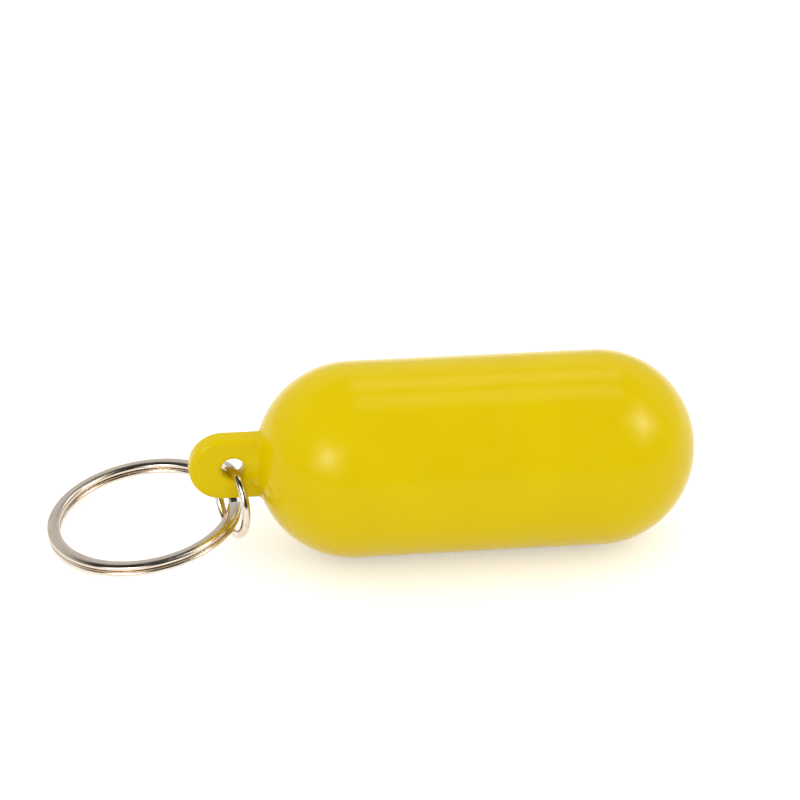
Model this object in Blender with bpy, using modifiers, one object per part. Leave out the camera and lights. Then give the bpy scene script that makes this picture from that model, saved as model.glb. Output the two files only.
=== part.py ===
# Floating keychain: a sealed moulded float with an eyed tab, a jump ring through the eye,
# and a two-turn split ring hanging on the jump ring. It lies on its side, as on a table.
# Metres, +Z up. +X runs along the float from the tab to its far end, +Y goes to its back.

from math import asin, atan2, ceil, cos, hypot, pi, radians, sin, sqrt, tan

import bmesh
import bpy
from mathutils import Matrix, Vector

# Float
float_diameter = 0.032
float_straight = 0.040          # between the centres of the two domes
float_sides = 32                # flats round the float, one of which lies on the table
dome_rings = 16                 # rings of faces from a dome's rim to its pole

# Tab and its eye
tab_reach = 0.01065             # tip of the tab, past the pole of the dome
tab_height = 0.011
tab_thickness = 0.0034
tab_round = 0.0008              # on the tab's edges and the rims of the eye
tab_root_fillet = 0.0012        # where the tab's narrow edges meet the dome
tab_root_depth = 0.004          # the tab's root goes this far into the dome
eye_diameter = 0.0038
eye_from_tip = 0.00705

# Jump ring
link_outer_diameter = 0.0128
link_wire = 0.0014
link_cut = 0.0002               # between the wire's two ends
link_turn = radians(72.5)       # its plane, turned from the float's axis to the front
link_cut_place = radians(150)   # from its front side, over its top
eye_clearance = 0.0002          # between the wire and the eye

# Split ring
ring_outer_diameter = 0.032
ring_wire_width = 0.0021
ring_wire_height = 0.00098
ring_wire_round = 0.00045
coil_clearance = 0.00012        # between the two turns
joggle_sweep = radians(24)      # where the wire steps up from the lower turn to the upper
joggle_place = radians(-8)      # start of the joggle, from the float's axis
end_clearance = 0.0003          # between a wire end and the joggle
hang_place = radians(-22)       # where the jump ring holds it, from the float's axis
ring_clearance = 0.0004         # between it and the jump ring

# Fineness of the curved pieces
arc_step = radians(7.5)         # along small arcs
link_step = radians(6)
ring_step = radians(6)
section_steps = 3               # faces round each corner of the flat wire
sharp_angle = radians(40)       # faces that meet at less are shaded as one surface
weld_distance = 0.000002

# Worked out from the sizes above, with the origin below the centre of the tab's dome
float_radius = float_diameter / 2
axis_height = float_radius * cos(pi / float_sides)
tip_x = -float_radius - tab_reach
eye_radius = eye_diameter / 2
eye_x = tip_x + eye_from_tip
link_radius = (link_outer_diameter - link_wire) / 2
ring_radius = (ring_outer_diameter - ring_wire_width) / 2
coil_pitch = ring_wire_height + coil_clearance
ring_height = coil_pitch + ring_wire_height

# The wire passes the eye aslant, and is nearest to it where the eye's straight bore ends
bore_half = tab_thickness / 2 - tab_round
wire_room = eye_radius - link_wire / 2 - eye_clearance
wire_aside = bore_half / tan(link_turn)
wire_fall = link_radius - sqrt(link_radius ** 2 - (bore_half / sin(link_turn)) ** 2)
link_drop = sqrt(wire_room ** 2 - wire_aside ** 2) - wire_fall + link_radius

# The split ring lies on the jump ring's lowest point, and its far end rests on the table
hang_drop = link_drop + link_radius - link_wire / 2 - ring_clearance - ring_height / 2
hang_height = axis_height - hang_drop
rest_reach = ring_radius * cos(hang_place) + ring_outer_diameter / 2 - ring_wire_round
rest_depth = ring_height / 2 - ring_wire_round
ring_lean = asin((hang_height - ring_wire_round) / hypot(rest_reach, rest_depth))
ring_lean -= atan2(rest_depth, rest_reach)


def make_collection(name):
    """Add an empty collection to the scene."""
    collection = bpy.data.collections.new(name)
    bpy.context.scene.collection.children.link(collection)
    return collection


def make_material(name, colour, roughness, metallic):
    """Make a plain Principled material."""
    material = bpy.data.materials.new(name)
    material.use_nodes = True
    shader = material.node_tree.nodes["Principled BSDF"]
    shader.inputs["Base Color"].default_value = (*colour, 1.0)
    shader.inputs["Roughness"].default_value = roughness
    shader.inputs["Metallic"].default_value = metallic
    return material


def make_object(name, data, collection):
    """Put mesh, curve or empty data into the scene under a name."""
    item = bpy.data.objects.new(name, data)
    collection.objects.link(item)
    return item


def keep_as_guide(item):
    """Mark an object as a tool for the modelling, and not a piece."""
    item.display_type = "WIRE"
    item.hide_render = True


def to_mesh(item, name):
    """Turn an object, as evaluated, into one closed mesh, shaded smooth between its sharp edges."""
    depsgraph = bpy.context.evaluated_depsgraph_get()
    mesh = bpy.data.meshes.new_from_object(item.evaluated_get(depsgraph))
    mesh.name = name
    work = bmesh.new()
    work.from_mesh(mesh)
    bmesh.ops.remove_doubles(work, verts=work.verts, dist=weld_distance)
    bmesh.ops.recalc_face_normals(work, faces=work.faces)
    work.to_mesh(mesh)
    work.free()
    mesh.shade_smooth()
    mesh.set_sharp_from_angle(angle=sharp_angle)
    return mesh


def add_spline(curve, points, closed):
    """Add a straight-sided spline through a list of points."""
    spline = curve.splines.new("POLY")
    spline.points.add(len(points) - 1)
    for place, point in zip(spline.points, points):
        place.co = (*point, 1.0)
    spline.use_cyclic_u = closed


def arc(centre, radius, start, end):
    """Points of an arc in a plane, from one angle to another."""
    steps = ceil(abs(end - start) / arc_step)
    angles = [start + (end - start) * i / steps for i in range(steps + 1)]
    return [(centre[0] + radius * cos(a), centre[1] + radius * sin(a), 0.0) for a in angles]


def capsule_profile():
    """Outline of the float from its far pole to the tab's pole, beside the axis it turns on."""
    quarter = [pi / 2 * i / dome_rings for i in range(dome_rings + 1)]
    far = [(float_radius * sin(a), 0.0, float_straight + float_radius * cos(a)) for a in quarter]
    near = [(float_radius * cos(a), 0.0, -float_radius * sin(a)) for a in quarter]
    return far + near


def make_capsule():
    """Turn the float's outline round the X axis."""
    points = capsule_profile()
    mesh = bpy.data.meshes.new("capsule_outline")
    mesh.from_pydata(points, [(i, i + 1) for i in range(len(points) - 1)], [])
    capsule = make_object("capsule_outline", mesh, guides)
    turn = capsule.modifiers.new("turn", "SCREW")
    turn.axis = "Z"
    turn.steps = float_sides
    turn.render_steps = float_sides
    turn.use_merge_vertices = True
    turn.merge_threshold = weld_distance
    flat_down = Matrix.Rotation(pi / float_sides, 4, "X")
    along_x = Matrix.Rotation(pi / 2, 4, "Y")
    capsule.matrix_world = Matrix.Translation((0.0, 0.0, axis_height)) @ flat_down @ along_x
    return capsule


def tab_outline():
    """Outline of the tab seen from the front, with its root flared onto the dome."""
    half = tab_height / 2
    fillet_x = -sqrt((float_radius + tab_root_fillet) ** 2 - (half + tab_root_fillet) ** 2)
    fillet_y = half + tab_root_fillet
    onto_dome = atan2(-fillet_y, -fillet_x)
    top_fillet = arc((fillet_x, fillet_y), tab_root_fillet, onto_dome, -pi / 2)
    bottom_fillet = [(x, -y, z) for x, y, z in reversed(top_fillet)]
    tip = arc((tip_x + half, 0.0), half, pi / 2, 3 * pi / 2)
    root_x = top_fillet[0][0] + tab_root_depth
    root = [(root_x, -top_fillet[0][1], 0.0), (root_x, top_fillet[0][1], 0.0)]
    return top_fillet + tip + bottom_fillet + root


def make_tab():
    """A flat plate with rounded edges and an eye."""
    curve = bpy.data.curves.new("tab_outline", "CURVE")
    curve.dimensions = "2D"
    curve.fill_mode = "BOTH"
    curve.extrude = tab_thickness / 2 - tab_round
    curve.bevel_depth = tab_round
    curve.bevel_resolution = 3
    curve.offset = -tab_round
    add_spline(curve, tab_outline(), closed=True)
    eye = arc((eye_x, 0.0), eye_radius, 0.0, 2 * pi)[:-1]
    add_spline(curve, eye, closed=True)
    flat = make_object("tab_outline", curve, guides)
    plate = make_object("tab_plate", to_mesh(flat, "tab_plate"), guides)
    plate.matrix_world = Matrix.Translation((0.0, 0.0, axis_height)) @ Matrix.Rotation(pi / 2, 4, "X")
    bpy.data.objects.remove(flat)
    return plate


def make_float():
    """Join the capsule and its tab into the one moulded body."""
    capsule = make_capsule()
    plate = make_tab()
    keep_as_guide(plate)
    join = capsule.modifiers.new("join_tab", "BOOLEAN")
    join.operation = "UNION"
    join.solver = "EXACT"
    join.object = plate
    bpy.context.view_layer.update()
    mesh = to_mesh(capsule, "float_body")
    mesh.transform(capsule.matrix_world)
    body = make_object("float_body", mesh, pieces)
    bpy.data.objects.remove(capsule)
    return body


def link_path():
    """Centre line of the jump ring's wire, from one end of its cut to the other."""
    half_cut = link_cut / 2 / link_radius
    start = link_cut_place + half_cut
    sweep = 2 * pi - 2 * half_cut
    steps = ceil(sweep / link_step)
    points = []
    for i in range(steps + 1):
        angle = start + sweep * i / steps
        out = link_radius * cos(angle)
        up = link_radius * sin(angle) - link_drop
        points.append((out * cos(link_turn), -out * sin(link_turn), up))
    return points


def make_link():
    """Bend the jump ring from round wire."""
    curve = bpy.data.curves.new("jump_ring_wire", "CURVE")
    curve.dimensions = "3D"
    curve.bevel_depth = link_wire / 2
    curve.bevel_resolution = 4
    curve.use_fill_caps = True
    add_spline(curve, link_path(), closed=False)
    wire = make_object("jump_ring_wire", curve, guides)
    link = make_object("jump_ring", to_mesh(wire, "jump_ring"), pieces)
    bpy.data.objects.remove(wire)
    return link


def flat_wire_section():
    """Section of the flat wire, with round corners."""
    side = ring_wire_width / 2 - ring_wire_round
    rise = ring_wire_height / 2 - ring_wire_round
    corners = [(side, rise), (-side, rise), (-side, -rise), (side, -rise)]
    points = []
    for i, (x, y) in enumerate(corners):
        for j in range(section_steps + 1):
            angle = pi / 2 * (i + j / section_steps)
            points.append((x + ring_wire_round * cos(angle), y + ring_wire_round * sin(angle), 0.0))
    return points


def step_height(angle):
    """Height of the wire at an angle past the start of the lower turn."""
    joggle_start = 2 * pi - joggle_sweep
    share = min(max((angle - joggle_start) / joggle_sweep, 0.0), 1.0)
    return coil_pitch * (share * share * (3 - 2 * share) - 0.5)


def ring_path():
    """Centre line of the split ring's wire over its two turns, from the place where it hangs."""
    end_room = end_clearance / ring_radius
    sweep = 4 * pi - joggle_sweep - 2 * end_room
    steps = ceil(sweep / ring_step)
    centre = Vector((ring_radius * cos(hang_place), ring_radius * sin(hang_place), 0.0))
    points = []
    for i in range(steps + 1):
        past_start = end_room + sweep * i / steps
        angle = joggle_place + joggle_sweep + past_start
        round_ring = Vector((ring_radius * cos(angle), ring_radius * sin(angle), 0.0))
        points.append(round_ring - centre + Vector((0.0, 0.0, step_height(past_start))))
    return points


def make_split_ring():
    """Coil the split ring from flat wire."""
    section = bpy.data.curves.new("flat_wire_section", "CURVE")
    section.dimensions = "2D"
    add_spline(section, flat_wire_section(), closed=True)
    outline = make_object("flat_wire_section", section, guides)
    keep_as_guide(outline)
    curve = bpy.data.curves.new("split_ring_wire", "CURVE")
    curve.dimensions = "3D"
    curve.twist_mode = "Z_UP"
    curve.bevel_mode = "OBJECT"
    curve.bevel_object = outline
    curve.use_fill_caps = True
    add_spline(curve, ring_path(), closed=False)
    wire = make_object("split_ring_wire", curve, guides)
    ring = make_object("split_ring", to_mesh(wire, "split_ring"), pieces)
    bpy.data.objects.remove(wire)
    return ring


def footprint_centre(items):
    """Middle of the pieces seen from above."""
    bpy.context.view_layer.update()
    corners = [item.matrix_world @ vertex.co for item in items for vertex in item.data.vertices]
    xs = [corner.x for corner in corners]
    ys = [corner.y for corner in corners]
    return Vector(((min(xs) + max(xs)) / 2, (min(ys) + max(ys)) / 2, 0.0))


for old in list(bpy.data.objects):
    bpy.data.objects.remove(old)

pieces = make_collection("floating_keychain")
guides = make_collection("guides")

yellow_plastic = make_material("gloss_yellow_plastic", (0.76, 0.56, 0.001), 0.25, 0.0)
link_nickel = make_material("link_nickel_plate", (0.72, 0.69, 0.65), 0.18, 1.0)
ring_nickel = make_material("ring_nickel_plate", (0.72, 0.69, 0.65), 0.2, 1.0)

# The float is fixed to the origin. The jump ring turns on the eye's axis, and the split ring
# turns on its own wire where the jump ring holds it.
keychain = make_object("keychain", None, pieces)
eye_hinge = make_object("eye_hinge", None, pieces)
eye_hinge.parent = keychain
eye_hinge.location = (eye_x, 0.0, axis_height)
link_hinge = make_object("link_hinge", None, pieces)
link_hinge.parent = eye_hinge
link_hinge.location = (0.0, 0.0, -hang_drop)
link_hinge.rotation_euler = (0.0, -ring_lean, 0.0)

float_body = make_float()
float_body.parent = keychain
float_body.data.materials.append(yellow_plastic)

jump_ring = make_link()
jump_ring.parent = eye_hinge
jump_ring.data.materials.append(link_nickel)

split_ring = make_split_ring()
split_ring.parent = link_hinge
split_ring.data.materials.append(ring_nickel)

keychain.location = -footprint_centre([float_body, jump_ring, split_ring])
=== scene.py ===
# Floating keychain, dressed: the yellow float, its jump ring and its split ring, on a white floor.
from math import asin, atan2, copysign, cos, hypot, pi, radians, sin

import bmesh
import bpy
from mathutils import Matrix, Quaternion, Vector


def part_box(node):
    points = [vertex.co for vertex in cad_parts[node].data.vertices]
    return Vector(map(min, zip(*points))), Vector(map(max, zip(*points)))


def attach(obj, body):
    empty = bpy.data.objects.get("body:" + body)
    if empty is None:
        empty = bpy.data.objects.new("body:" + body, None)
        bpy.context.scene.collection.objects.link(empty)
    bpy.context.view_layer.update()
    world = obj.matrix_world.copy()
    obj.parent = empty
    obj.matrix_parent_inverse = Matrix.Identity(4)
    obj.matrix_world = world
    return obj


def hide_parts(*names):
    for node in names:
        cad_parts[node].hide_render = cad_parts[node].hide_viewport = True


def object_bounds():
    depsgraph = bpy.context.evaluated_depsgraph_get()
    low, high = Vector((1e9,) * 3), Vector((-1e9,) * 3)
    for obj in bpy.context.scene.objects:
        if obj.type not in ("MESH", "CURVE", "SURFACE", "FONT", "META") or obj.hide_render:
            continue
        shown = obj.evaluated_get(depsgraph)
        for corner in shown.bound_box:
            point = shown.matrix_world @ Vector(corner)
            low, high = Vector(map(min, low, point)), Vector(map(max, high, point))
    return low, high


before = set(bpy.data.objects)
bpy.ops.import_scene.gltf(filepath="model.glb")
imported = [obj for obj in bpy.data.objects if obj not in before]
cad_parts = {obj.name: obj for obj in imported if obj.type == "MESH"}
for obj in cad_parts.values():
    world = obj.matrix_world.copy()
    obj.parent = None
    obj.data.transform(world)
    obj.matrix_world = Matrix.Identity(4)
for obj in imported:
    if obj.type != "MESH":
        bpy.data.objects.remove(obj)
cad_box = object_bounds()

# Float: one sealed capsule of glossy yellow plastic, moulded with a flat tab that grows out of
# one dome and is pierced by an eye. All its edges are rounded, and the tab runs into the dome
# with a small fillet all round.
float_straight = 0.040          # between the centres of the two domes
float_diameter = 0.032
tab_height = 0.011
tab_thickness = 0.0034
tab_edge_round = 0.0008
tab_root_fillet = 0.0026        # where the tab's broad faces meet the dome
tab_edge_fillet = 0.0005        # where the tab's narrow edges meet it
fillet_fade = 0.004             # the fillet grows to its full size this far in from the edges
tab_root_depth = 0.006          # how far the plate reaches into the dome before they are fused
eye_radius = 0.0019
eye_edge_round = 0.00065
eye_from_tip = 0.00705
dome_meridians = 128            # faces round the rough capsule
dome_parallels = 64
tab_segments = 96               # sides of the rough tab's disc
eye_segments = 64
half_margin = 0.0001            # a vertex this far past a shape's middle is in its far half
skin_step = 0.00036             # side of the fused skin's faces
even_rounds = 4                 # passes that even the fused skin out
even_factor = 0.5
settle_rounds = 4               # passes that bring it onto the true form
probe = 0.00001                 # step for reading a slope of the form
least_slope = 0.25              # a slope's square is taken as no less, for short, safe moves
millimetre = 0.001

float_low, float_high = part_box("float_body")
skin_radius = (float_high.z - float_low.z) / 2
axis_y = (float_low.y + float_high.y) / 2
axis_z = (float_low.z + float_high.z) / 2
tab_dome = Vector((float_high.x - float_diameter / 2 - float_straight, axis_y, axis_z))
far_dome = Vector((float_high.x - skin_radius, axis_y, axis_z))
tip_round = Vector((float_low.x + tab_height / 2, axis_y, axis_z))
eye = Vector((float_low.x + eye_from_tip, axis_y, axis_z))
root_x = tab_dome.x - skin_radius + tab_root_depth


def linear(code):
    """A colour from its sRGB hex code, in the linear values that shaders take."""
    parts = [int(code[i:i + 2], 16) / 255 for i in (1, 3, 5)]
    return (*[c / 12.92 if c <= 0.04045 else ((c + 0.055) / 1.055) ** 2.4 for c in parts], 1.0)


def add_node(material, kind, settings, links):
    """Add a node with its settings, and link its inputs to other nodes' outputs."""
    node = material.node_tree.nodes.new(kind)
    for name, value in settings.items():
        if name in node.inputs:
            node.inputs[name].default_value = value
        else:
            setattr(node, name, value)
    for name, source in links.items():
        material.node_tree.links.new(source, node.inputs[name])
    return node


def new_material(name):
    """An empty node material, and its surface output."""
    material = bpy.data.materials.new(name)
    material.use_nodes = True
    material.node_tree.nodes.clear()
    return material, material.node_tree.nodes.new("ShaderNodeOutputMaterial")


def new_piece(name, shape, material):
    """Put a finished bmesh into the scene as a smooth piece of one material."""
    mesh = bpy.data.meshes.new(name)
    shape.to_mesh(mesh)
    shape.free()
    mesh.shade_smooth()
    mesh.materials.append(material)
    piece = bpy.data.objects.new(name, mesh)
    bpy.context.scene.collection.objects.link(piece)
    return piece


def meet(first, second, edge_round):
    """The overlap of two forms, given by their distances, with a rounded edge between them."""
    first, second = first + edge_round, second + edge_round
    return min(max(first, second), 0.0) + hypot(max(first, 0.0), max(second, 0.0)) - edge_round


def form_of_float(point):
    """Distance from the moulded float's skin, less than nothing inside it."""
    along = min(max(point.x, tab_dome.x), far_dome.x)
    capsule = (point - Vector((along, axis_y, axis_z))).length - skin_radius
    rise = point.z - axis_z
    if point.x > tip_round.x:
        outline = max(abs(rise) - tab_height / 2, point.x - root_x)
    else:
        outline = hypot(point.x - tip_round.x, rise) - tab_height / 2
    plate = meet(outline, abs(point.y - axis_y) - tab_thickness / 2, tab_edge_round)
    plate = meet(plate, eye_radius - hypot(point.x - eye.x, rise), eye_edge_round)
    share = min(max((tab_height / 2 - abs(rise)) / fillet_fade, 0.0), 1.0)
    fillet = tab_edge_fillet + (tab_root_fillet - tab_edge_fillet) * share * share * (3 - 2 * share)
    near = hypot(max(fillet - capsule, 0.0), max(fillet - plate, 0.0))
    return max(fillet, min(capsule, plate)) - near


def settle(vertex):
    """Move a vertex of the fused skin onto the float's true form."""
    if vertex.co.x > tab_dome.x:
        middle_line = Vector((min(vertex.co.x, far_dome.x), axis_y, axis_z))
        vertex.co = middle_line + (vertex.co - middle_line).normalized() * skin_radius
        return
    for _ in range(settle_rounds):
        here = form_of_float(vertex.co)
        slope = Vector([form_of_float(vertex.co + step) - here for step in probe_steps]) / probe
        vertex.co -= slope * (here / max(slope.length_squared, least_slope))


probe_steps = [Vector((probe, 0, 0)), Vector((0, probe, 0)), Vector((0, 0, probe))]

rough = bmesh.new()
bmesh.ops.create_uvsphere(
    rough, u_segments=dome_meridians, v_segments=dome_parallels, radius=skin_radius)
bmesh.ops.rotate(rough, verts=rough.verts, matrix=Matrix.Rotation(pi / 2, 3, "Y"))
far_half = [v for v in rough.verts if v.co.x > half_margin]
bmesh.ops.translate(rough, verts=far_half, vec=far_dome - tab_dome)
bmesh.ops.translate(rough, verts=rough.verts, vec=tab_dome)

# The tab is a disc for its round end, with its far half drawn out into the dome.
disc = bmesh.ops.create_cone(
    rough, segments=tab_segments, radius1=tab_height / 2, radius2=tab_height / 2,
    depth=tab_thickness, cap_ends=True)
bmesh.ops.rotate(rough, verts=disc["verts"], matrix=Matrix.Rotation(pi / 2, 3, "X"))
root_half = [v for v in disc["verts"] if v.co.x > half_margin]
bmesh.ops.translate(rough, verts=root_half, vec=(root_x - tip_round.x, 0, 0))
bmesh.ops.translate(rough, verts=disc["verts"], vec=tip_round)

punch = bmesh.new()
bmesh.ops.create_cone(
    punch, segments=eye_segments, radius1=eye_radius, radius2=eye_radius,
    depth=2 * tab_thickness, cap_ends=True)
bmesh.ops.rotate(punch, verts=punch.verts, matrix=Matrix.Rotation(pi / 2, 3, "X"))
bmesh.ops.translate(punch, verts=punch.verts, vec=eye)

# Moulded plastic, such as ABS, in a strong warm yellow. The mould leaves it glossy, with a
# faint unevenness that softens what it mirrors, and handling leaves the gloss a little patchy.
moulded_yellow, surface = new_material("moulded_yellow_abs")
place = add_node(moulded_yellow, "ShaderNodeTexCoord", {}, {})
cloud = add_node(moulded_yellow, "ShaderNodeTexNoise",
                 {"Scale": 1 / (14 * millimetre), "Detail": 3.0, "Roughness": 0.5},
                 {"Vector": place.outputs["Object"]})
yellow = add_node(moulded_yellow, "ShaderNodeValToRGB", {}, {"Fac": cloud.outputs["Fac"]})
yellow.color_ramp.elements[0].position = 0.3
yellow.color_ramp.elements[0].color = linear("#E3C500")
yellow.color_ramp.elements[1].position = 0.7
yellow.color_ramp.elements[1].color = linear("#E7CB00")
handled = add_node(moulded_yellow, "ShaderNodeTexNoise",
                   {"Scale": 1 / (5 * millimetre), "Detail": 4.0, "Roughness": 0.6},
                   {"Vector": place.outputs["Object"]})
gloss = add_node(moulded_yellow, "ShaderNodeMapRange",
                 {"From Min": 0.3, "From Max": 0.7, "To Min": 0.15, "To Max": 0.2},
                 {"Value": handled.outputs["Fac"]})
peel = add_node(moulded_yellow, "ShaderNodeTexNoise",
                {"Scale": 1 / (2.2 * millimetre), "Detail": 2.0},
                {"Vector": place.outputs["Object"]})
skin = add_node(moulded_yellow, "ShaderNodeBump",
                {"Strength": 0.25, "Distance": 0.02 * millimetre},
                {"Height": peel.outputs["Fac"]})
plastic = add_node(moulded_yellow, "ShaderNodeBsdfPrincipled",
                   {"IOR": 1.5, "Specular IOR Level": 0.1},
                   {"Base Color": yellow.outputs["Color"], "Roughness": gloss.outputs["Result"],
                    "Normal": skin.outputs["Normal"]})
moulded_yellow.node_tree.links.new(plastic.outputs["BSDF"], surface.inputs["Surface"])

rough_float = new_piece("rough_float", rough, moulded_yellow)
eye_punch = new_piece("eye_punch", punch, moulded_yellow)
pierce = rough_float.modifiers.new("pierce", "BOOLEAN")
pierce.operation = "DIFFERENCE"
pierce.solver = "EXACT"
pierce.use_self = True
pierce.object = eye_punch
fuse = rough_float.modifiers.new("fuse", "REMESH")
fuse.mode = "VOXEL"
fuse.voxel_size = skin_step
fused = rough_float.evaluated_get(bpy.context.evaluated_depsgraph_get())
skin_shape = bmesh.new()
skin_shape.from_mesh(fused.to_mesh())
bpy.data.objects.remove(rough_float)
bpy.data.objects.remove(eye_punch)
for _ in range(even_rounds):
    bmesh.ops.smooth_vert(skin_shape, verts=skin_shape.verts, factor=even_factor,
                          use_axis_x=True, use_axis_y=True, use_axis_z=True)
for vertex in skin_shape.verts:
    settle(vertex)
float_piece = new_piece("float", skin_shape, moulded_yellow)
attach(float_piece, "float")
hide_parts("float_body")

# Jump ring: a turn of round steel wire with its two ends closed up to each other, plated with
# nickel. It is sprung open, passed through the eye and the split ring, and pressed shut.
link_outer_diameter = 0.0128
link_wire = 0.0014
link_cut = 0.0002
link_turn = radians(72.5)       # its plane, turned from the float's axis to the front
link_cut_place = radians(150)   # from its front side, over its top
link_steps = 240
link_section_steps = 32
link_end_round = 0.00008
end_segments = 3                # faces across a rounded edge of a wire's end
sharp_edge = radians(40)        # faces that meet at more than this show an edge

link_radius = (link_outer_diameter - link_wire) / 2
link_low, link_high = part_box("jump_ring")
link_centre = Vector((eye.x, axis_y, link_low.z + link_outer_diameter / 2))
half_cut = link_cut / 2 / link_radius


def close_ends(shape, size):
    """Cap the two open ends of a bent wire, and round the edges of the caps."""
    rims = [e for e in shape.edges if e.is_boundary]
    caps = bmesh.ops.holes_fill(shape, edges=rims)["faces"]
    edges = [e for cap in caps for e in cap.edges]
    bmesh.ops.bevel(shape, geom=edges, offset=size, offset_type="OFFSET", segments=end_segments,
                    profile=0.5, material=-1, affect="EDGES")
    bmesh.ops.recalc_face_normals(shape, faces=shape.faces)


link_shape = bmesh.new()
bmesh.ops.create_circle(link_shape, segments=link_section_steps, radius=link_wire / 2)
bmesh.ops.translate(link_shape, verts=link_shape.verts, vec=(link_radius, 0, 0))
start = link_cut_place + half_cut
bmesh.ops.rotate(link_shape, verts=link_shape.verts, matrix=Matrix.Rotation(-start, 3, "Y"))
bmesh.ops.spin(link_shape, geom=link_shape.edges, angle=-2 * (pi - half_cut), steps=link_steps,
               axis=(0, 1, 0), cent=(0, 0, 0), dvec=(0, 0, 0), use_merge=False)
close_ends(link_shape, link_end_round)
bmesh.ops.rotate(link_shape, verts=link_shape.verts, matrix=Matrix.Rotation(-link_turn, 3, "Z"))
bmesh.ops.translate(link_shape, verts=link_shape.verts, vec=link_centre)

# Bright nickel plate over drawn wire: a warm grey mirror, slightly blurred by the grain of the
# steel under it, with patches that have dulled.
plated_wire, surface = new_material("nickel_plated_wire")
place = add_node(plated_wire, "ShaderNodeTexCoord", {}, {})
dulled = add_node(plated_wire, "ShaderNodeTexNoise",
                  {"Scale": 1 / (1.5 * millimetre), "Detail": 4.0, "Roughness": 0.6},
                  {"Vector": place.outputs["Object"]})
nickel = add_node(plated_wire, "ShaderNodeValToRGB", {}, {"Fac": dulled.outputs["Fac"]})
nickel.color_ramp.elements[0].position = 0.3
nickel.color_ramp.elements[0].color = linear("#D9CCBD")
nickel.color_ramp.elements[1].position = 0.65
nickel.color_ramp.elements[1].color = linear("#E9DDCE")
blur = add_node(plated_wire, "ShaderNodeMapRange",
                {"From Min": 0.3, "From Max": 0.7, "To Min": 0.13, "To Max": 0.22},
                {"Value": dulled.outputs["Fac"]})
grain = add_node(plated_wire, "ShaderNodeTexNoise",
                 {"Scale": 1 / (0.25 * millimetre), "Detail": 2.0},
                 {"Vector": place.outputs["Object"]})
skin = add_node(plated_wire, "ShaderNodeBump",
                {"Strength": 0.04, "Distance": 0.01 * millimetre},
                {"Height": grain.outputs["Fac"]})
plate = add_node(plated_wire, "ShaderNodeBsdfPrincipled", {"Metallic": 1.0},
                 {"Base Color": nickel.outputs["Color"], "Roughness": blur.outputs["Result"],
                  "Normal": skin.outputs["Normal"]})
plated_wire.node_tree.links.new(plate.outputs["BSDF"], surface.inputs["Surface"])

link_piece = new_piece("jump_ring_wire", link_shape, plated_wire)
link_piece.data.set_sharp_from_angle(angle=sharp_edge)
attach(link_piece, "jump_ring")
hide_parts("jump_ring")

# Split ring: flat spring-steel wire with round edges, coiled into two turns that lie on each
# other, hardened and nickel plated. A short joggle lifts the wire from one turn to the other,
# and each end stops at the joggle.
ring_outer_diameter = 0.032
ring_wire_width = 0.0021
ring_wire_height = 0.00098
ring_edge_round = 0.00045       # how far its corners are rounded, for how it lies
ring_crown = 2.6                # 2 makes the wire's section an ellipse, and more fills its corners
ring_section_steps = 48
coil_clearance = 0.00012        # between the two turns
joggle_sweep = radians(24)
joggle_place = radians(-8)      # start of the joggle, from the float's axis
end_clearance = 0.0003          # between a wire end and the joggle
hang_place = radians(-22)       # where the jump ring holds it, from the float's axis
ring_clearance = 0.0004         # between it and the jump ring
ring_end_round = 0.00012
ring_step = radians(1.5)

ring_radius = (ring_outer_diameter - ring_wire_width) / 2
coil_pitch = ring_wire_height + coil_clearance
ring_height = coil_pitch + ring_wire_height
hang_height = link_low.z + link_wire + ring_clearance + ring_height / 2
rest_reach = ring_radius * cos(hang_place) + ring_outer_diameter / 2 - ring_edge_round
rest_depth = ring_height / 2 - ring_edge_round
ring_lean = asin((hang_height - ring_edge_round) / hypot(rest_reach, rest_depth))
ring_lean -= atan2(rest_depth, rest_reach)


def step_height(angle):
    """Height of the wire at an angle past the start of the lower turn."""
    share = min(max((angle - 2 * pi + joggle_sweep) / joggle_sweep, 0.0), 1.0)
    return coil_pitch * (share * share * (3 - 2 * share) - 0.5)


ring_shape = bmesh.new()
wire_place = ring_shape.verts.layers.float_vector.new("wire_place")
bmesh.ops.create_circle(ring_shape, segments=ring_section_steps, radius=1.0)
for vertex in ring_shape.verts:
    wide, high = (abs(side) ** (2 / ring_crown) for side in vertex.co.xy)
    vertex.co.x = copysign(wide * ring_wire_width / 2, vertex.co.x)
    vertex.co.y = copysign(high * ring_wire_height / 2, vertex.co.y)
bmesh.ops.rotate(ring_shape, verts=ring_shape.verts, matrix=Matrix.Rotation(pi / 2, 3, "X"))
for vertex in ring_shape.verts:
    round_wire = atan2(vertex.co.z, vertex.co.x) * ring_wire_width / 2
    vertex[wire_place] = Vector((0, round_wire, 0)) / millimetre
end_room = end_clearance / ring_radius
first_angle = joggle_place + joggle_sweep + end_room
bmesh.ops.translate(ring_shape, verts=ring_shape.verts, vec=(ring_radius, 0, step_height(end_room)))
bmesh.ops.rotate(ring_shape, verts=ring_shape.verts, matrix=Matrix.Rotation(first_angle, 3, "Z"))
ring_sweep = 4 * pi - joggle_sweep - 2 * end_room
ring_steps = round(ring_sweep / ring_step)
section = list(ring_shape.edges)
for i in range(ring_steps):
    grown = bmesh.ops.extrude_edge_only(ring_shape, edges=section)["geom"]
    section = [g for g in grown if isinstance(g, bmesh.types.BMEdge) and g.is_boundary]
    moved = [g for g in grown if isinstance(g, bmesh.types.BMVert)]
    before = end_room + ring_sweep * i / ring_steps
    after = end_room + ring_sweep * (i + 1) / ring_steps
    bmesh.ops.rotate(ring_shape, verts=moved, matrix=Matrix.Rotation(after - before, 3, "Z"))
    rise = step_height(after) - step_height(before)
    bmesh.ops.translate(ring_shape, verts=moved, vec=(0, 0, rise))
    for vertex in moved:
        vertex[wire_place].x = after * ring_radius / millimetre
close_ends(ring_shape, ring_end_round)
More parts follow.
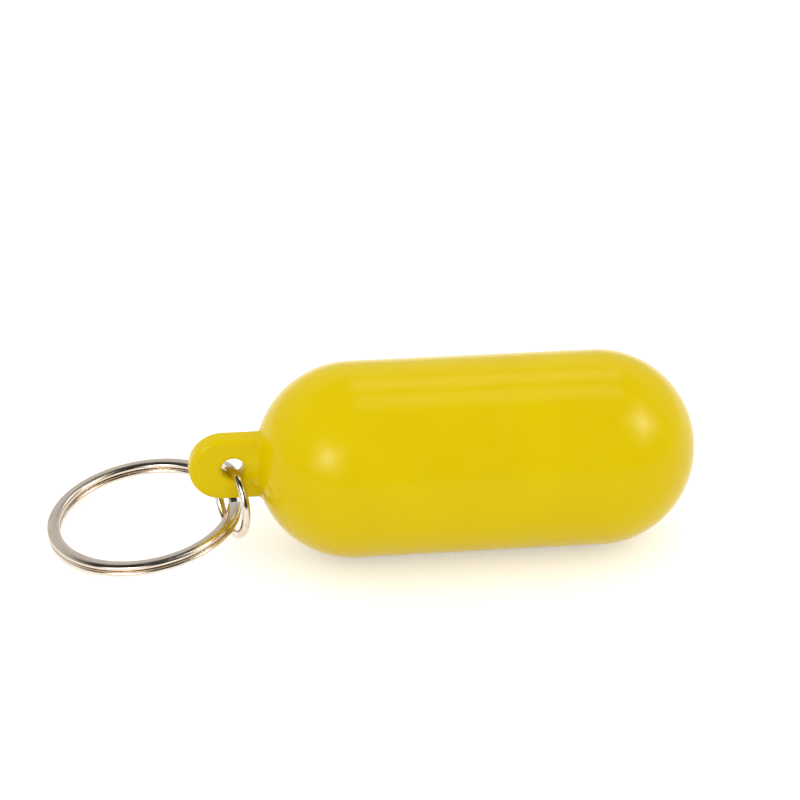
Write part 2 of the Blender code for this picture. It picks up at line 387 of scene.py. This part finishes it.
hang = Vector((ring_radius * cos(hang_place), ring_radius * sin(hang_place), 0))
hang_point = Vector((eye.x, axis_y, hang_height))
lean = Matrix.Rotation(-ring_lean, 4, "Y")
laid = Matrix.Translation(hang_point) @ lean @ Matrix.Translation(-hang)
bmesh.ops.transform(ring_shape, matrix=laid, verts=ring_shape.verts)

# Nickel plate over rolled spring steel: a warm grey mirror drawn out along the wire by rolling
# lines, with rubbed marks where keys slide round it. The lines are 0.2 mm apart, which is
# coarser than real ones, so that they show.
plated_spring, surface = new_material("nickel_plated_spring_steel")
place = add_node(plated_spring, "ShaderNodeAttribute", {"attribute_name": "wire_place"}, {})
lines = add_node(plated_spring, "ShaderNodeMapping", {"Scale": (0.12, 5.0, 1.0)},
                 {"Vector": place.outputs["Vector"]})
rolled = add_node(plated_spring, "ShaderNodeTexNoise",
                  {"Scale": 1.0, "Detail": 3.0, "Roughness": 0.6},
                  {"Vector": lines.outputs["Vector"]})
marks = add_node(plated_spring, "ShaderNodeMapping", {"Scale": (0.35, 0.9, 1.0)},
                 {"Vector": place.outputs["Vector"]})
rubbed = add_node(plated_spring, "ShaderNodeTexNoise",
                  {"Scale": 1.0, "Detail": 4.0, "Roughness": 0.6},
                  {"Vector": marks.outputs["Vector"]})
nickel = add_node(plated_spring, "ShaderNodeValToRGB", {}, {"Fac": rubbed.outputs["Fac"]})
nickel.color_ramp.elements[0].position = 0.3
nickel.color_ramp.elements[0].color = linear("#D6C9B9")
nickel.color_ramp.elements[1].position = 0.65
nickel.color_ramp.elements[1].color = linear("#E7DACA")
blur = add_node(plated_spring, "ShaderNodeMapRange",
                {"From Min": 0.3, "From Max": 0.7, "To Min": 0.14, "To Max": 0.24},
                {"Value": rubbed.outputs["Fac"]})
skin = add_node(plated_spring, "ShaderNodeBump",
                {"Strength": 0.03, "Distance": 0.008 * millimetre},
                {"Height": rolled.outputs["Fac"]})
plate = add_node(plated_spring, "ShaderNodeBsdfPrincipled", {"Metallic": 1.0},
                 {"Base Color": nickel.outputs["Color"], "Roughness": blur.outputs["Result"],
                  "Normal": skin.outputs["Normal"]})
plated_spring.node_tree.links.new(plate.outputs["BSDF"], surface.inputs["Surface"])

ring_piece = new_piece("split_ring_wire", ring_shape, plated_spring)
ring_piece.data.set_sharp_from_angle(angle=sharp_edge)
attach(ring_piece, "split_ring")
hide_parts("split_ring")

# Studio floor: a matt white sheet that the keychain lies on. What the camera and the gloss see
# of it is lifted to white, and it keeps the soft shadow under the float.
floor_size = 3.0
floor_lift = 0.4

floor_shape = bmesh.new()
bmesh.ops.create_grid(floor_shape, x_segments=1, y_segments=1, size=floor_size / 2)
white_sheet, surface = new_material("matt_white_sheet")
ray = add_node(white_sheet, "ShaderNodeLightPath", {}, {})
seen = add_node(white_sheet, "ShaderNodeMath", {"operation": "MAXIMUM"}, {})
white_sheet.node_tree.links.new(ray.outputs["Is Camera Ray"], seen.inputs[0])
white_sheet.node_tree.links.new(ray.outputs["Is Glossy Ray"], seen.inputs[1])
lift = add_node(white_sheet, "ShaderNodeMath", {"operation": "MULTIPLY"}, {})
lift.inputs[1].default_value = floor_lift
white_sheet.node_tree.links.new(seen.outputs["Value"], lift.inputs[0])
glow = add_node(white_sheet, "ShaderNodeEmission", {}, {"Strength": lift.outputs["Value"]})
matt = add_node(white_sheet, "ShaderNodeBsdfDiffuse", {"Color": linear("#F4F4F4")}, {})
both = add_node(white_sheet, "ShaderNodeAddShader", {}, {})
white_sheet.node_tree.links.new(matt.outputs["BSDF"], both.inputs[0])
white_sheet.node_tree.links.new(glow.outputs["Emission"], both.inputs[1])
white_sheet.node_tree.links.new(both.outputs["Shader"], surface.inputs["Surface"])
floor = new_piece("floor", floor_shape, white_sheet)

# Studio light: an even room, white to the camera, whose walls the gloss mirrors as dark in
# front and white low down behind. Soft boxes stand at the front left and to the right, and two
# panels hang overhead.
room_light = 1.27
room_dark = 0.02
room_pale = 0.85

world = bpy.data.worlds.new("studio")
world.use_nodes = True
bpy.context.scene.world = world
world.node_tree.nodes.clear()
ray = add_node(world, "ShaderNodeLightPath", {}, {})
facing = add_node(world, "ShaderNodeTexCoord", {}, {})
parts = add_node(world, "ShaderNodeSeparateXYZ", {}, {"Vector": facing.outputs["Generated"]})
behind = add_node(world, "ShaderNodeMapRange",
                  {"From Min": -0.2, "From Max": 0.3, "To Min": 0.0, "To Max": 1.0},
                  {"Value": parts.outputs["Y"]})
low = add_node(world, "ShaderNodeMapRange",
               {"From Min": 0.58, "From Max": 0.72, "To Min": 1.0, "To Max": 0.0},
               {"Value": parts.outputs["Z"]})
wall = add_node(world, "ShaderNodeMath", {"operation": "MULTIPLY"}, {})
world.node_tree.links.new(behind.outputs["Result"], wall.inputs[0])
world.node_tree.links.new(low.outputs["Result"], wall.inputs[1])
mirrored = add_node(world, "ShaderNodeMapRange",
                    {"From Min": 0.0, "From Max": 1.0, "To Min": room_dark, "To Max": room_pale},
                    {"Value": wall.outputs["Value"]})
for_gloss = add_node(world, "ShaderNodeMix", {"data_type": "FLOAT"}, {})
world.node_tree.links.new(ray.outputs["Is Glossy Ray"], for_gloss.inputs[0])
for_gloss.inputs[2].default_value = room_light
world.node_tree.links.new(mirrored.outputs["Result"], for_gloss.inputs[3])
for_camera = add_node(world, "ShaderNodeMix", {"data_type": "FLOAT"}, {})
world.node_tree.links.new(ray.outputs["Is Camera Ray"], for_camera.inputs[0])
world.node_tree.links.new(for_gloss.outputs[0], for_camera.inputs[2])
for_camera.inputs[3].default_value = 1.0
sky = add_node(world, "ShaderNodeBackground", {}, {"Strength": for_camera.outputs[0]})
sky_output = add_node(world, "ShaderNodeOutputWorld", {}, {"Surface": sky.outputs["Background"]})

middle = (cad_box[0] + cad_box[1]) / 2


def soft_box(name, turn, height, aside, distance, width, depth, brightness):
    """An area lamp that the gloss mirrors, as bright as so many white sheets. It stands at a
    turn to the right of straight in front and a height above the floor, both angles, and aside
    to the right. The room's even light stands for its wash."""
    away = Vector((sin(turn) * cos(height), -cos(turn) * cos(height), sin(height)))
    lamp = bpy.data.lights.new(name, "AREA")
    lamp.shape = "RECTANGLE"
    lamp.size = width
    lamp.size_y = depth
    lamp.energy = brightness * pi * width * depth
    box = bpy.data.objects.new(name, lamp)
    box.location = middle + away * distance + Vector((aside, 0, 0))
    box.rotation_mode = "QUATERNION"
    box.rotation_quaternion = away.to_track_quat("Z", "Y")
    box.visible_diffuse = False
    bpy.context.scene.collection.objects.link(box)


# Each front box glows most in its middle, where the bulb is.
front_boxes = {"left": (radians(-42), radians(27)), "right": (radians(66), radians(38))}
for side, (turn, height) in front_boxes.items():
    soft_box(side + "_box", turn, height, aside=0.0, distance=0.90,
             width=0.64, depth=0.60, brightness=2.2)
    soft_box(side + "_glow", turn, height, aside=0.0, distance=0.88,
             width=0.36, depth=0.36, brightness=4.4)
    soft_box(side + "_bulb", turn, height, aside=0.0, distance=0.86,
             width=0.18, depth=0.18, brightness=7.6)
soft_box("back_panel", radians(180), radians(55.5), aside=0.22, distance=0.90,
         width=0.40, depth=0.27, brightness=2.0)
soft_box("overhead_panel", radians(180), radians(81), aside=0.22, distance=0.90,
         width=0.40, depth=0.26, brightness=2.3)

# Camera: a long lens in front and to the left, looking down at the keychain, rolled slightly.
camera_aim = Vector((0.00854, 0.02497, 0.010))
camera_distance = 0.6424
camera_turn = radians(9.40)     # to the left of straight in front
camera_height = radians(30.41)
camera_roll = radians(1.99)
camera_lens = 171.15
camera_sensor = 36.0
nearest_seen = 0.01

view_line = Vector((sin(camera_turn) * cos(camera_height), cos(camera_turn) * cos(camera_height),
                    -sin(camera_height)))
lens = bpy.data.cameras.new("camera")
lens.lens = camera_lens
lens.sensor_width = camera_sensor
lens.clip_start = nearest_seen
camera = bpy.data.objects.new("camera", lens)
camera.location = camera_aim - view_line * camera_distance
camera.rotation_mode = "QUATERNION"
roll = Quaternion((0, 0, 1), camera_roll)
camera.rotation_quaternion = view_line.to_track_quat("-Z", "Y") @ roll
bpy.context.scene.collection.objects.link(camera)
bpy.context.scene.camera = camera
bpy.context.scene.view_settings.view_transform = "Standard"
